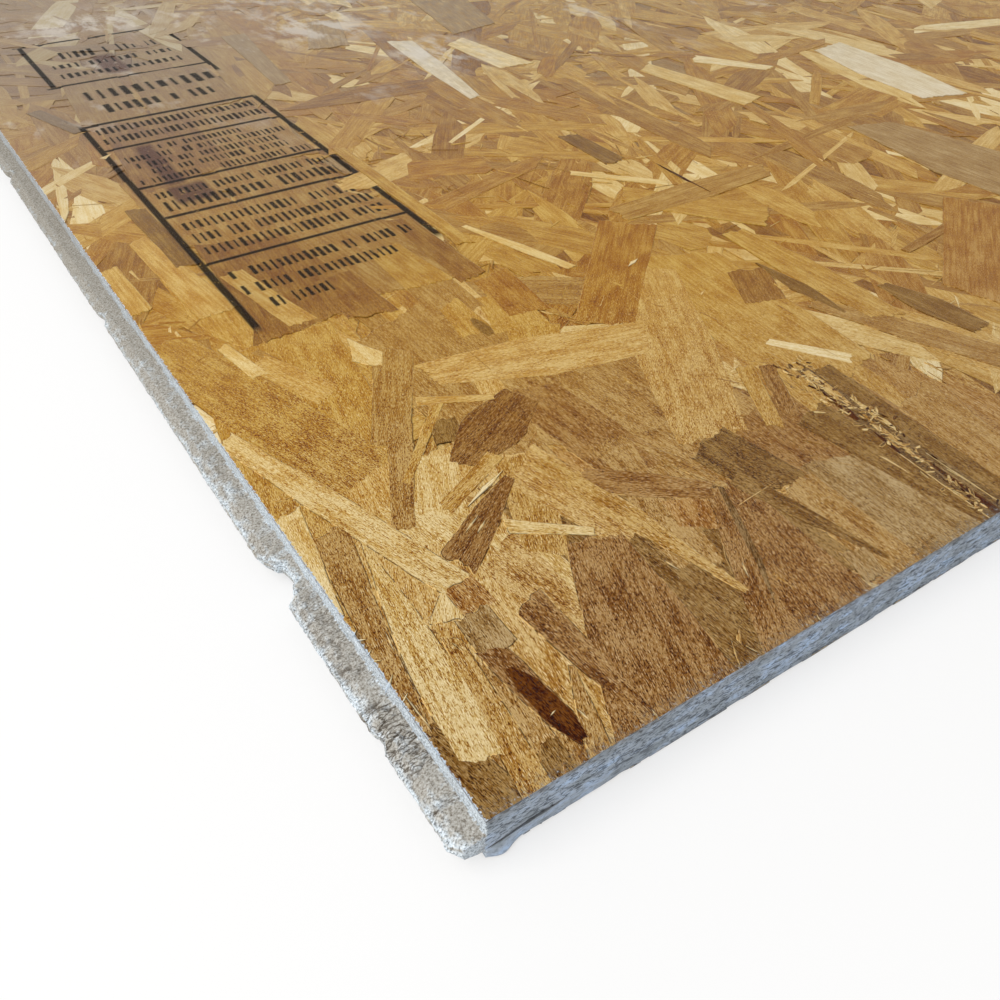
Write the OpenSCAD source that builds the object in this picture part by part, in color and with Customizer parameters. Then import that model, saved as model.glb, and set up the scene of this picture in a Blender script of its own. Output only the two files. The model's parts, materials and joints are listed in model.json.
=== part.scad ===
// Tongue and groove OSB floor panel: one pressed sheet of wood strands, sawn and profiled on its long edges.
// The panel lies flat with its stamped face up. X runs along its length, the tongue points to -Y,
// the groove opens to +Y, and the underside lies on Z = 0. The near end is the one at +X.

/* [Panel] */
// Length of the panel, along its tongue and groove
panel_len = 2435; // [1200:1:3660]
// Width of the panel's face, without the tongue
face_w = 1207; // [600:1:1500]
// Thickness of the panel
panel_t = 18.3; // [18:0.1:29]

/* [Tongue] */
// How far the tongue stands out of its edge
tongue_len = 9; // [8:0.1:12]
// Depth of the tongue's top below the face, at the root
tongue_drop = 6.9; // [5:0.1:8]
// Thickness of the tongue at its root
tongue_root_t = 7.1; // [6:0.1:8]
// Thickness of the tongue's blunt nose
tongue_nose_t = 1.8; // [1:0.1:3]
// Height of the top of the nose below the root's top
nose_drop = 2.5; // [1:0.1:3]
// Length of the tongue's top before it slopes down to the nose
top_flat_len = 5.6; // [3:0.1:7]
// Length of the tongue's underside before it slopes up to the nose
under_flat_len = 2.6; // [1:0.1:7]
// How much each flat side closes in towards the nose
flat_taper = 0.4; // [0:0.1:0.8]

/* [Groove] */
// How much deeper the groove is than the tongue is long
groove_spare = 1.2; // [0.5:0.1:3]
// Play between the tongue and the groove, on each side
groove_play = 0.4; // [0.2:0.1:0.8]

/* [Damage] */
// Length of the worn corner at the near end of the tongue
corner_wear_len = 3.5; // [1:0.1:8]
// How much of the tongue's nose that corner has lost
corner_wear_w = 2.5; // [1:0.1:5]
// Length of the split that opens the near end beside the tongue
split_len = 26; // [10:1:60]
// How deep the split runs into the panel
split_depth = 9; // [3:0.5:30]
// Height of the split's mouth
split_gap = 1.4; // [0.5:0.1:2]
// Depth of the split's middle below the face
split_drop = 12.6; // [8:0.1:15]
// Distance from the tongue's shoulder to the start of the split
split_inset = 1; // [0.5:0.1:10]

/* [Hidden] */
osb_color = [0.74, 0.56, 0.35];
panel_w = face_w + tongue_len;
// Edge planes, across the panel and along it
tip_y = -panel_w / 2;
shoulder_y = tip_y + tongue_len;
groove_y = panel_w / 2;
near_end_x = panel_len / 2;
tongue_top_z = panel_t - tongue_drop;
// Length by which a cutter runs clear of what it cuts
past = 2;
// Pieces knocked out of the tongue: [distance from the near end, length, depth]
chips = [
    [36, 9, 1.2],
    [99, 26, 6.4],
    [296, 14, 1.8],
    [478, 14, 3]
];

// Section of the tongue, from its root outwards: u is the distance out of the edge and v the height
// above the top of the root. play grows every side, and spare lengthens it, which makes the groove.
function tongue_section(play, spare) =
    let (nose_u = tongue_len + spare,
         nose_v = -nose_drop + play,
         root_v = -tongue_root_t - play)
    [
        [-past, play],
        [0, play],
        [top_flat_len, play - flat_taper],
        [nose_u, nose_v],
        [nose_u, -nose_drop - tongue_nose_t - play],
        [under_flat_len, root_v + flat_taper],
        [0, root_v],
        [-past, root_v]
    ];

// A section drawn in u and v, run along the whole panel plus extra at each end, with u towards -Y
module along_edge(edge_y, extra) {
    translate([-panel_len / 2 - extra, edge_y, tongue_top_z])
        rotate([90, 0, 90])
            linear_extrude(panel_len + 2 * extra)
                mirror([1, 0])
                    children();
}

module tongue() {
    along_edge(shoulder_y, 0)
        polygon(tongue_section(0, 0));
}

module groove() {
    along_edge(groove_y, past)
        polygon(tongue_section(groove_play, groove_spare));
}

// One chip out of the tongue. Its outline is in shares of its length and depth, from the near side:
// a steep side, a ledge, a flat bottom, and a step up to a long shallow side
module chip(start, length, depth) {
    outline = [
        [0, 0], [0.08, 0.5], [0.2, 0.6], [0.28, 1], [0.42, 1],
        [0.67, 0.86], [0.69, 0.56], [0.83, 0.17], [1, 0]
    ];
    linear_extrude(panel_t)
        polygon([
            [near_end_x - start, tip_y - past],
            for (p = outline) [near_end_x - start - p[0] * length, tip_y + p[1] * depth],
            [near_end_x - start - length, tip_y - past]
        ]);
}

// The rubbed-off corner at the near end of the tongue
module corner_wear() {
    linear_extrude(panel_t)
        polygon([
            [near_end_x - corner_wear_len, tip_y],
            [near_end_x - corner_wear_len, tip_y - past],
            [near_end_x + past, tip_y - past],
            [near_end_x + past, tip_y + corner_wear_w],
            [near_end_x, tip_y + corner_wear_w]
        ]);
}

// The split between two layers of strands: a wedge, widest at the end of the panel
module split() {
    start_y = shoulder_y + split_inset;
    mouth = split_gap / 2 * (1 + past / split_depth);
    translate([0, start_y + split_len, panel_t - split_drop])
        rotate([90, 0, 0])
            linear_extrude(split_len)
                polygon([
                    [near_end_x - split_depth, 0],
                    [near_end_x + past, -mouth],
                    [near_end_x + past, mouth]
                ]);
}

module osb_panel() {
    color(osb_color)
        difference() {
            union() {
                translate([-panel_len / 2, shoulder_y, 0])
                    cube([panel_len, face_w, panel_t]);
                tongue();
            }
            groove();
            for (c = chips)
                chip(c[0], c[1], c[2]);
            corner_wear();
            split();
        }
}

osb_panel();
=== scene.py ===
"""A tongue and groove OSB floor panel: pressed wood strands, torn tongue, sealed edges and a worn print."""
import json
import math
import random
from functools import partial

import bmesh
import bpy
import numpy as np
from mathutils import Matrix, Vector


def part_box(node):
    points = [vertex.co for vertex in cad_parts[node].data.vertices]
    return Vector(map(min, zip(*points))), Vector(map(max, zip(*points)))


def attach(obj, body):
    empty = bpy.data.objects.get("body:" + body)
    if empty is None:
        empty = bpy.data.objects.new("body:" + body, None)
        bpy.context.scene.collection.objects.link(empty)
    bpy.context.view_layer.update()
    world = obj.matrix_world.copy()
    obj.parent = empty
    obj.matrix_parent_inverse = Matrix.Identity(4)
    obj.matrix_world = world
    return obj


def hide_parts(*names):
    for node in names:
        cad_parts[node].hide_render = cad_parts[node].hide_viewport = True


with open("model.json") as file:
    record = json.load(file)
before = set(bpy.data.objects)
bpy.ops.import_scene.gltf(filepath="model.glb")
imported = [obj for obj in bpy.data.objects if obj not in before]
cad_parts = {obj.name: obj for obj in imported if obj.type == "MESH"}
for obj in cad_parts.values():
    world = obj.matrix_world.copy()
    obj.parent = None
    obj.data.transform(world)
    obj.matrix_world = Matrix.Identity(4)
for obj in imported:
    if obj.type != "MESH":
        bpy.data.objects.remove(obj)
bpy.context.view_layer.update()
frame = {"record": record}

MM = 0.001
NODE = "osb_panel"

# The panel's own planes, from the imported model
lowest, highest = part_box(NODE)
NEAR_X, FAR_X = highest[0], lowest[0]
TOP_Z = highest[2]
GROOVE_Y = highest[1]
mount_at = {m["name"]: m["pos_m"] for m in frame["record"]["mounts"]}
SHOULDER_Y = mount_at["tongue_shoulder"][1]
LENGTH = (NEAR_X - FAR_X) / MM
FACE_W = (GROOVE_Y - SHOULDER_Y) / MM
THICK = (TOP_Z - lowest[2]) / MM
TONGUE = (SHOULDER_Y - lowest[1]) / MM


# ---------------------------------------------------------------- places and small sums

def place(d, s, z):
    """A point d mm from the near end, s mm across from the tongue's shoulder and z mm above the face."""
    return NEAR_X - d * MM, SHOULDER_Y + s * MM, TOP_Z + z * MM


def along(value, points):
    """Straight-line interpolation through (position, value) pairs."""
    xs, ys = zip(*points)
    return np.interp(value, xs, ys)


def lattice(ix, iy, seed):
    """A repeatable number from -1 to 1 for each whole-number place."""
    mixed = np.sin(ix * 127.1 + iy * 311.7 + seed * 74.7) * 43758.5453
    return (mixed - np.floor(mixed)) * 2 - 1


def ripple(u, v, seed):
    """Smooth noise from -1 to 1 over a plane, one bump a unit."""
    u, v = np.broadcast_arrays(np.asarray(u, float), np.asarray(v, float))
    iu, iv = np.floor(u), np.floor(v)
    fu, fv = u - iu, v - iv
    fu, fv = fu * fu * (3 - 2 * fu), fv * fv * (3 - 2 * fv)
    low = lattice(iu, iv, seed) * (1 - fu) + lattice(iu + 1, iv, seed) * fu
    high = lattice(iu, iv + 1, seed) * (1 - fu) + lattice(iu + 1, iv + 1, seed) * fu
    return low * (1 - fv) + high * fv


# ---------------------------------------------------------------- nodes and colours

def linear(code):
    """An sRGB hex colour as linear RGBA."""
    parts = [int(code[i:i + 2], 16) / 255 for i in (1, 3, 5)]
    return [c / 12.92 if c <= 0.04045 else ((c + 0.055) / 1.055) ** 2.4 for c in parts] + [1.0]


# Short names for the commonest sums
SUMS = {
    "+": "Math ADD", "-": "Math SUBTRACT", "*": "Math MULTIPLY", "/": "Math DIVIDE", "max": "Math MAXIMUM"}


def add_node(tree, kind, *values, stops=(), **settings):
    """Adds a node. Its kind is given without ShaderNode, and with its operation or data type after it.

    Values go into the inputs in use, in order, or into those named by a dict. A node or a socket given as
    a value is linked, a node by its first output in use. Stops are a ramp's (position, hex colour) pairs,
    and settings are the node's other properties.
    """
    kind, _, mode = SUMS.get(kind, kind).partition(" ")
    node = tree.nodes.new(kind if "Node" in kind else "ShaderNode" + kind)
    if mode:
        setattr(node, "operation" if hasattr(node, "operation") else "data_type", mode)
    for name, setting in settings.items():
        setattr(node, name, setting)
    if values and isinstance(values[0], dict):
        pairs = [(node.inputs[key], value) for key, value in values[0].items()]
    else:
        pairs = zip([socket for socket in node.inputs if socket.enabled], values)
    for socket, value in pairs:
        if isinstance(value, bpy.types.Node):
            value = next(output for output in value.outputs if output.enabled)
        if isinstance(value, bpy.types.NodeSocket):
            tree.links.new(value, socket)
        else:
            socket.default_value = value
    marks = node.color_ramp.elements if stops else None
    for i, (position, code) in enumerate(stops):
        mark = marks[i] if i < len(marks) else marks.new(position)
        mark.position, mark.color = position, linear(code)
    return node


def new_material(name):
    """A material without nodes, and the function that adds nodes to it."""
    material = bpy.data.materials.new(name)
    material.use_nodes = True
    material.node_tree.nodes.clear()
    return material, partial(add_node, material.node_tree)


def finish_material(material, add, color, roughness, height, depth_mm, specular, sheen=0.0):
    """Ends a material in a Principled shader with a bump of real depth."""
    shader = add("BsdfPrincipled", {
        "Base Color": color, "Roughness": roughness, "IOR": 1.45, "Specular IOR Level": specular,
        "Sheen Weight": sheen, "Sheen Roughness": 0.3, "Sheen Tint": (0.96, 0.98, 1, 1),
        "Normal": add("Bump", {"Strength": 1.0, "Distance": depth_mm * MM, "Height": height})})
    add("OutputMaterial", {"Surface": shader})
    return material


def per_mm(size_mm, stretch=(1, 1, 1)):
    """What a place is multiplied by to make a pattern's features size_mm across, or longer by stretch."""
    return [1 / (size_mm * MM * k) for k in stretch]


def board_distances(add, where):
    """Distances from the near end, from the tongue's shoulder and below the face, in mm."""
    x, y, z = add("SeparateXYZ", where).outputs
    gaps = [add("-", far, near) for far, near in ((NEAR_X, x), (y, SHOULDER_Y), (TOP_Z, z))]
    return [add("*", gap, 1 / MM) for gap in gaps]


def between(add, value, low, high, soft):
    """1 between low and high, falling to 0 over soft on each side."""
    off = add("Math ABSOLUTE", add("-", value, (low + high) / 2))
    half = (high - low) / 2
    return add("MapRange", off, half + soft, half - soft)


def within(add, s, d, span, soft_s, soft_d):
    """1 within a span of the face (first and last s, first and last d), falling to 0 past its borders."""
    low_s, high_s, low_d, high_d = span
    return add("*", between(add, s, low_s, high_s, soft_s), between(add, d, low_d, high_d, soft_d))


# ---------------------------------------------------------------- materials

# Pressed face strands of aspen and pine: knife-cut, hot-pressed and waxed, so each shows straight grain,
# short dark pores and a soft dull shine. Each strand has one place on this scale of woods.
WOODS = {
    "dark": "#441900", "bark": "#603608", "plum": "#76562A", "umber": "#7E5618", "grey": "#A2804A",
    "rust": "#80500C", "brown": "#90601C", "tan": "#A67A32", "amber": "#A16C1C", "honey": "#B68832",
    "straw": "#C19544", "pale": "#D6B46C", "ivory": "#E6CC90", "bleached": "#DCCBA8"}
STRAND_SHINE = 0.07
STRAND_SHEEN = 0.22
STRAND_RELIEF = 0.07  # mm

# Pale patches of painted sheen, the sky's reflection laid into the colour: first and last s, first and last
# d, in mm
SHEEN_PATCHES = [(210, 290, 590, 690), (265, 330, 490, 560), (60, 150, 690, 760)]


def wood_place(name):
    """Where a wood stands on the scale, 0 to 1."""
    return list(WOODS).index(name) / (len(WOODS) - 1)


def strand_color(add, grain, tone, fleck, rim):
    """Colour, height and gloss of a strand from its own grain coordinates, in metres along and across."""
    # each strand is cut from its own part of the wood
    shift = add("CombineXYZ", add("*", tone, 7.3), add("*", fleck, 3.1))
    at = add("VectorMath ADD", grain, shift)
    where = add("TexCoord").outputs["Object"]
    # the first six run along the strand's grain, and the last three lie over the whole board
    cloud, rings, fibre, mottle, pores, patches, sheen_noise, sheen_breakup, dust = [
        add("TexNoise", add("VectorMath MULTIPLY", spot, per_mm(*size)), 1.0, detail, roughness)
        for spot, size, detail, roughness in (
            (at, (8.0, (2, 1, 1)), 2.0, 0.5), (at, (1.4, (16, 1, 1)), 2.0, 0.5),
            (at, (0.32, (6, 1, 1)), 2.0, 0.65), (at, (1.0, (2.2, 1, 1)), 2.0, 0.7),
            (at, (0.38, (2.4, 1, 1)), 1.0, 0.5), (at, (4.0, (2, 1, 1)), 2.0, 0.5),
            (where, (34, (1.6, 1, 1)), 5.0, 0.65), (where, (16, (2, 1, 1)), 4.0, 0.65),
            (where, (0.9,), 3.0, 0.7))]

    # the grain is crisp by the clean corner and softer farther in
    d, s, below = board_distances(add, where)
    corner = add("CombineXYZ", d, add("*", s, 0.8))
    corner = add("MapRange", add("VectorMath LENGTH", corner), 270, 60)
    crisp = add("+", 0.42, add("*", corner, 1.45))

    color = add("ValToRGB", tone, stops=[(wood_place(name), code) for name, code in WOODS.items()])
    # the paler woods wear a dull grey bloom by the near end
    bloom = add("*", add("MapRange", d, 180, 40), add("*", tone, 0.24))
    color = add("Mix RGBA", bloom, color, linear("#98907F"))
    mottled = add("+", add("*", fleck, 0.5), 0.3)
    spread = add("+", add("*", tone, 0.5), 0.7)
    broad = add("max", crisp, 0.85)
    depth = 0.93
    for part, strength, clear in (
            (cloud, 0.95, broad), (rings, 1.1, broad), (fibre, 1.9, crisp), (mottle, mottled, crisp)):
        swing = add("*", add("-", part, 0.5), strength)
        depth = add("+", depth, add("*", swing, add("*", spread, clear)))
    depth = add("max", depth, 0.69)
    color = add("Gamma", color, depth)
    glint = add("*", add("MapRange", fibre, 0.42, 0.31), add("*", tone, 0.46))
    glint = add("*", glint, crisp)
    color = add("Mix RGBA", glint, color, linear("#FBECC6"))

    limit = add("-", 0.66, add("*", fleck, 0.12))
    limit = add("+", limit, add("*", add("-", 0.5, patches), 0.25))
    specks = add("MapRange", add("-", pores, limit), 0.0, 0.05)
    threads = add("*", add("MapRange", fibre, 0.59, 0.66), 0.6)
    dark = add("Gamma", color, 2.0)
    marks = add("max", specks, threads)
    color = add("Mix RGBA", add("*", marks, crisp, use_clamp=True), color, dark)

    # painted shade and highlight round each strand's top: a dark line along the bevelled rim where the step
    # to the strand below would be shaded, and a pale line of lit fibres where the patches noise is high
    edge = add("-", 1.0, rim)
    rim_highlight_share = add("MapRange", patches, 0.5, 0.56)
    rim_shade_and_highlight = add("Mix RGBA", rim_highlight_share, linear("#34200F"), linear("#E9C37C"))
    color = add("Mix RGBA", add("*", edge, add("*", crisp, 0.6)), color, rim_shade_and_highlight)

    # painted reflection haze, on the upper face only: grey laid over the far part and towards the shoulder,
    # where the sky's grazing reflection greys the face
    upper = add("Math LESS_THAN", below, THICK / 2)
    far_reflection_haze = add("*", add("MapRange", d, 280, 860), add("MapRange", patches, 0.2, 0.6))
    haze_by_shoulder = add("*", add("MapRange", d, 330, 620), add("MapRange", s, 330, 150))
    far_reflection_haze = add("max", far_reflection_haze, add("*", haze_by_shoulder, 0.8))
    far_reflection_haze = add("*", far_reflection_haze, upper)
    color = add("Mix RGBA", add("*", far_reflection_haze, 0.76), color, linear("#827A70"))
    # painted sheen: pale patches of reflected sky over the far face, laid over the painted haze
    far = add("*", add("MapRange", d, 400, 540), upper)
    painted_sheen = add("*", add("MapRange", sheen_noise, 0.57, 0.68), far)
    painted_sheen = add("*", painted_sheen, 0.5)
    sheen_breakup = add("MapRange", sheen_breakup, 0.46, 0.6)
    sheen_breakup = add("*", sheen_breakup, add("*", upper, 0.65))
    for span in SHEEN_PATCHES:
        painted_sheen = add("max", painted_sheen, add("*", within(add, s, d, span, 16, 24), sheen_breakup))
    color = add("Mix RGBA", painted_sheen, color, linear("#D6CEC2"))

    # dirt and dried sealer dust the near end's edge, and sealer overspray the tongue's shoulder
    near = add("+", dust, add("*", d, -0.035))
    color = add("Mix RGBA", add("*", add("MapRange", near, 0.36, 0.52), 0.4), color, linear("#6E6557"))
    color = add("Mix RGBA", add("*", add("MapRange", near, 0.56, 0.64), 0.6), color, linear("#BAC0C4"))
    side = add("+", dust, add("*", s, -0.3))
    color = add("Mix RGBA", add("MapRange", side, 0.42, 0.5), color, linear("#C9D6E2"))

    height = add("-", add("+", fibre, rings), specks)
    gloss = add("+", 0.36, add("*", fibre, 0.26))
    return color, height, gloss


def strand_inputs(add):
    """Each strand's own grain coordinates and painted numbers."""
    painted = [add("Attribute", attribute_name=name).outputs["Fac"] for name in ("tone", "fleck", "rim")]
    return [add("UVMap", uv_map="grain")] + painted


def deep_inputs(add):
    """The strands below, seen only between those on top: cells of about 71 by 17 mm, each its own wood."""
    where = add("TexCoord").outputs["Object"]
    cells = add("VectorMath MULTIPLY", where, per_mm(50 / 3, (30 / 7, 1, 60)))
    cell = add("TexVoronoi", cells, 1.0, voronoi_dimensions="2D")
    chance = add("SeparateColor", cell.outputs["Color"]).outputs
    tone = add("+", add("*", chance[0], 0.45), 0.3)
    return [where, tone, chance[1], 1.0]


# The print is black ink rolled onto the rough face: patchy, worn off the high strands. It is a ruled frame
# with rows of plain upright strokes, and says nothing. Positions are mm from the near end (d) and from
# the shoulder (s).
PRINT_S = (41.5, 150.5)
PRINT_RULES = [(306, 2.6), (363.5, 3.0), (405, 3.0), (466, 3.0), (509, 3.4), (590, 3.0), (690, 3.2)]
SIDE_W = 3.6
PRINT_SIDES = [(41.5, 240, 510), (150.5, 275, 510), (46, 590, 690), (150, 570, 690)]
PRINT_ROWS = [
    # d of the row's middle, height of its strokes, their pitch, first s, last s
    (258, 9, 3.4, 48, 84), (274, 9, 3.4, 48, 128), (290, 9, 3.4, 48, 142),
    (319, 10, 3.6, 47, 145), (334, 10, 3.6, 47, 145), (349, 10, 3.6, 47, 145),
    (376, 12, 4.2, 47, 145), (391, 9, 3.2, 47, 145),
    (412, 8, 3.0, 46, 146), (424, 8, 3.0, 56, 136), (435, 8, 3.0, 48, 143), (446, 8, 3.0, 48, 144),
    (457, 7, 3.0, 70, 122), (480, 10, 3.6, 46, 146), (497, 11, 3.8, 46, 146),
    (534, 14, 6, 62, 136), (562, 16, 8, 56, 146), (610, 10, 5, 54, 140), (632, 10, 5, 54, 140),
    (656, 14, 5, 60, 140)]

# The haze of ink around the print, and the stretch that holds it all: first and last s, first and last d
PRINT_HAZE = (38, 154, 245, 700)
PRINTED_AREA = (25, 165, 225, 705)

# Where something dark and sticky has soaked in: first and last s, first and last d
DARK_STAINS = [(58, 68, 400, 463), (55, 76, 375, 399), (84, 100, 600, 645)]


def print_mask(add, d, s, shakes):
    """1 where the print has ink, from distances in mm; shakes are two noises that smear its strokes."""
    rules = 0.0
    for row_d, width in PRINT_RULES:
        rules = add("max", rules, between(add, d, row_d - width / 2, row_d + width / 2, 0.5))
    mask = add("*", rules, between(add, s, *PRINT_S, 0.5))
    for side_s, low, high in PRINT_SIDES:
        span = (side_s - SIDE_W / 2, side_s + SIDE_W / 2, low, high)
        mask = add("max", mask, within(add, s, d, span, 0.5, 3))
    shakes = [add("*", add("-", shake, 0.5), 0.7) for shake in shakes]
    d, s = add("+", d, shakes[0]), add("+", s, shakes[1])
    for row_d, tall, pitch, first, last in PRINT_ROWS:
        count = add("/", add("-", s, first), pitch)
        cell = add("CombineXYZ", add("Math FLOOR", count), row_d)
        chance = add("TexWhiteNoise", cell, noise_dimensions="2D")
        off = add("Math ABSOLUTE", add("-", add("Math FRACT", count), 0.5))
        other_chance = add("Math FRACT", add("*", chance, 7.3))
        half = add("+", add("*", other_chance, 0.2), 0.24)
        stroke = add("*", add("-", half, off), 5.0, use_clamp=True)
        half = add("*", add("+", chance, 2.2), tall * 0.185)
        off = add("Math ABSOLUTE", add("-", d, row_d))
        high = add("*", add("-", half, off), 2.0, use_clamp=True)
        row = add("*", add("*", stroke, high), add("Math GREATER_THAN", chance, 0.12))
        row = add("*", row, between(add, s, first, last, 0.5))
        mask = add("max", mask, row)
    return mask


def print_over(add, color):
    """The colour with the dark stains and the print over it, and where the ink is, which dries matt."""
    where = add("TexCoord").outputs["Object"]
    d, s = board_distances(add, where)[:2]
    worn, fine, *shakes = [
        add("TexNoise", add("VectorMath MULTIPLY", where, per_mm(size)), 1.0, detail, roughness)
        for size, detail, roughness in (
            (5.0, 4.0, 0.65), (1.1, 2.0, 0.5), (2.0, 1.0, 0.5), (2.6, 1.0, 0.5))]
    stain = 0.0
    for span in DARK_STAINS:
        stain = add("max", stain, within(add, s, d, span, 1.5, 3))
    stain = add("*", stain, add("MapRange", worn, 0.3, 0.42))
    color = add("Mix RGBA", add("*", stain, 0.84), color, linear("#4A2012"))
    # the ink has left a dull haze all over the print
    haze = within(add, s, d, PRINT_HAZE, 8, 20)
    color = add("Mix RGBA", add("*", haze, 0.15), color, linear("#3A2C20"))
    kept = add("MapRange", add("+", worn, add("*", fine, 0.5)), 0.48, 0.6)
    ink = add("*", print_mask(add, d, s, shakes), kept)
    return add("Mix RGBA", add("*", ink, 0.94), color, linear("#14110E")), ink


def strand_material(name, inputs_from, printed):
    """Pressed strands, with the print rolled over them where it is asked for."""
    material, add = new_material(name)
    color, height, gloss = strand_color(add, *inputs_from(add))
    if printed:
        color, ink = print_over(add, color)
        gloss = add("max", gloss, add("*", ink, 0.9))
    return finish_material(material, add, color, gloss, height, STRAND_RELIEF, STRAND_SHINE, STRAND_SHEEN)


# Edge sealer: pale blue-grey latex sprayed on the sawn edges, thin and matt. It is even over the cut strand
# ends with dark pits in rows between them, and broken and powdery over the torn tongue, where wood shows.
SEALER_ROUGHNESS = 0.8
SEALER_SHINE = 0.2
SEALER_RELIEF = 0.16  # mm


def sealed_edge_material():
    """Sealer over the sawn ends, and broken sealer over the torn tongue."""
    material, add = new_material("sealed_sawn_edge")
    where = add("TexCoord").outputs["Object"]
    seal, pit, torn, crack = [
        add("Attribute", attribute_name=name).outputs["Fac"] for name in ("seal", "pit", "torn", "crack")]
    blotch, rows, thick_rows, grit, vein, patches = [
        add("TexNoise", add("VectorMath MULTIPLY", where, per_mm(*size)), 1.0, detail, roughness)
        for size, detail, roughness in (
            ((10.0, (1, 1, 0.4)), 3.0, 0.6), ((0.5, (3.4, 3.4, 1)), 2.0, 0.65),
            ((0.9, (5, 5, 1)), 1.0, 0.5), ((0.6, (1, 1.2, 1)), 2.0, 0.65),
            ((2.6, (0.8, 3.4, 1)), 2.0, 0.55), ((3.5, (1, 1.2, 1)), 4.0, 0.7))]

    paint = add("ValToRGB", blotch, stops=[
        (0.36, "#969FA8"), (0.48, "#A6B0BC"), (0.57, "#AFBDD0"), (0.7, "#B6CCE8")])
    flecks = add("max", add("MapRange", rows, 0.54, 0.6), add("MapRange", thick_rows, 0.6, 0.66))
    d, s, below = board_distances(add, where)
    # the layer under the split is thickly sealed, so few cells show through there
    filled = add("*", add("MapRange", below, 12.2, 13.4), add("MapRange", s, 75, 30))
    flecks = add("*", flecks, add("-", 0.7, add("*", filled, 0.42)))
    sawn = add("Mix RGBA", flecks, paint, linear("#33383E"))
    rubbed = add("*", add("MapRange", below, 3.5, 0.5), add("MapRange", patches, 0.42, 0.56))
    sawn = add("Mix RGBA", add("*", rubbed, 0.6), sawn, linear("#7A7266"))

    powder = add("ValToRGB", grit, stops=[
        (0.36, "#757B80"), (0.45, "#BCC5CC"), (0.55, "#DAE4EC"), (0.7, "#F2F8FC")])
    wood = add("ValToRGB", grit, stops=[
        (0.32, "#70695F"), (0.43, "#99948B"), (0.56, "#B3B0A9"), (0.72, "#CCCAC5")])
    cover = add("+", seal, add("*", add("-", patches, 0.5), 1.8))
    # the torn tongue keeps less sealer and is darker and browner farther from the near end
    darker_farther_along = add("*", add("MapRange", d, 110, 400), 0.3)
    cover = add("-", cover, darker_farther_along)
    broken = add("Mix RGBA", add("MapRange", cover, 0.25, 0.85), wood, powder)
    broken = add("Mix RGBA", darker_farther_along, broken, linear("#746C5C"))
    line = add("MapRange", add("Math ABSOLUTE", add("-", vein, 0.5)), 0.034, 0.012)
    cracks = add("*", line, add("MapRange", crack, 0.4, 1.0))
    broken = add("Mix RGBA", add("*", cracks, 0.8), broken, linear("#51473B"))

    # painted shade: the pits, the dug creases of the tongue and most of all the split are darkened, partly
    # as bare wood the sealer misses, partly as the shade of their hollows
    deep = add("*", add("MapRange", pit, 0.5, 1.0), 0.75)
    color = add("Mix RGBA", torn, sawn, broken)
    color = add("Mix RGBA", deep, color, linear("#4E4439"))
    rough_height = add("-", add("*", grit, 0.6), cracks)
    flat_height = add("-", add("*", grit, 0.5), flecks)
    height = add("Mix FLOAT", torn, flat_height, rough_height)
    return finish_material(material, add, color, SEALER_ROUGHNESS, height, SEALER_RELIEF, SEALER_SHINE)


def seen_by_camera(add):
    """1 for what the camera sees, straight or by reflection, and 0 for light that falls on a surface."""
    paths = add("LightPath").outputs
    seen = add("max", paths["Is Camera Ray"], paths["Is Glossy Ray"])
    return add("max", seen, paths["Is Transmission Ray"])


def floor_material():
    """Plain white backdrop paper; the camera sees it part lit by itself, so its shadow stays pale."""
    material, add = new_material("studio_floor")
    shader = add("BsdfDiffuse", linear("#F8F8F8"))
    glow = add("Emission", (1, 1, 1, 1), 1.0)
    seen = add("*", seen_by_camera(add), 0.6)
    add("OutputMaterial", {"Surface": add("MixShader", seen, shader, glow)})
    return material


# ---------------------------------------------------------------- the sawn body and its edges

# Section of the tongue and groove, mm out from the face edge against mm from the face, as in the source
FLAT_TOP, FLAT_UNDER, GROOVE = 5.6, 2.6, 10.2
TONGUE_TOP = [(0, -6.9), (FLAT_TOP, -7.3), (TONGUE, -9.4)]
TONGUE_UNDER = [(0, -14.0), (FLAT_UNDER, -13.6), (TONGUE, -11.2)]
GROOVE_TOP = [(0, -6.5), (FLAT_TOP, -6.9), (GROOVE, -9.0)]
GROOVE_UNDER = [(0, -14.4), (FLAT_UNDER, -14.0), (GROOVE, -11.6)]
# Outline of a chip, in shares of its length and depth, and the chips: from the near end, length, depth
CHIP = [(0, 0), (0.08, 0.5), (0.2, 0.6), (0.28, 1), (0.42, 1), (0.67, 0.86), (0.69, 0.56), (0.83, 0.17),
        (1, 0)]
CHIPS = [(36, 9, 1.2), (99, 26, 6.4), (296, 14, 1.8), (478, 14, 3)]
# The rubbed-off corner of the tongue: its length along the panel, and what the nose has lost
CORNER_WEAR = (3.5, 2.5)
# How torn the tongue's top is along the panel, and how much of it is bare wood
TORN = [(0, 0.1), (11, 0.15), (13, 0.8), (17, 0.25), (23, 0.35), (27, 1), (50, 1), (53, 0.1), (59, 0.1),
        (62, 0.75), (97, 0.7), (100, 0.3), (116, 0.3), (121, 0.6), (140, 0.35), (175, 0.6), (205, 0.35),
        (300, 0.3), (520, 0.25), (LENGTH, 0.2)]
# Rows of quads down a sawn end: below the tongue, beside it, and above it
ROWS = (5, 12, 12)
# The split at the near end, mm across from the shoulder: its middle's height, and its gap
SPLIT_MIDDLE = [(0, -13.5), (4, -13.3), (9, -12.9), (13, -12.7), (25, -11.9), (60, -12.2)]
SPLIT_GAP = [(0, 0.1), (1, 0.35), (5, 0.8), (9, 1.3), (13, 1.6), (19, 0.9), (25, 0.1), (30, 0.1)]
SPLIT_DEPTH, WIDEST_SPLIT = 9, 1.6
# How far the body's two flat faces lie under the real ones, to leave room for the strands, in mm
FACE_DROP = 0.55


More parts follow.
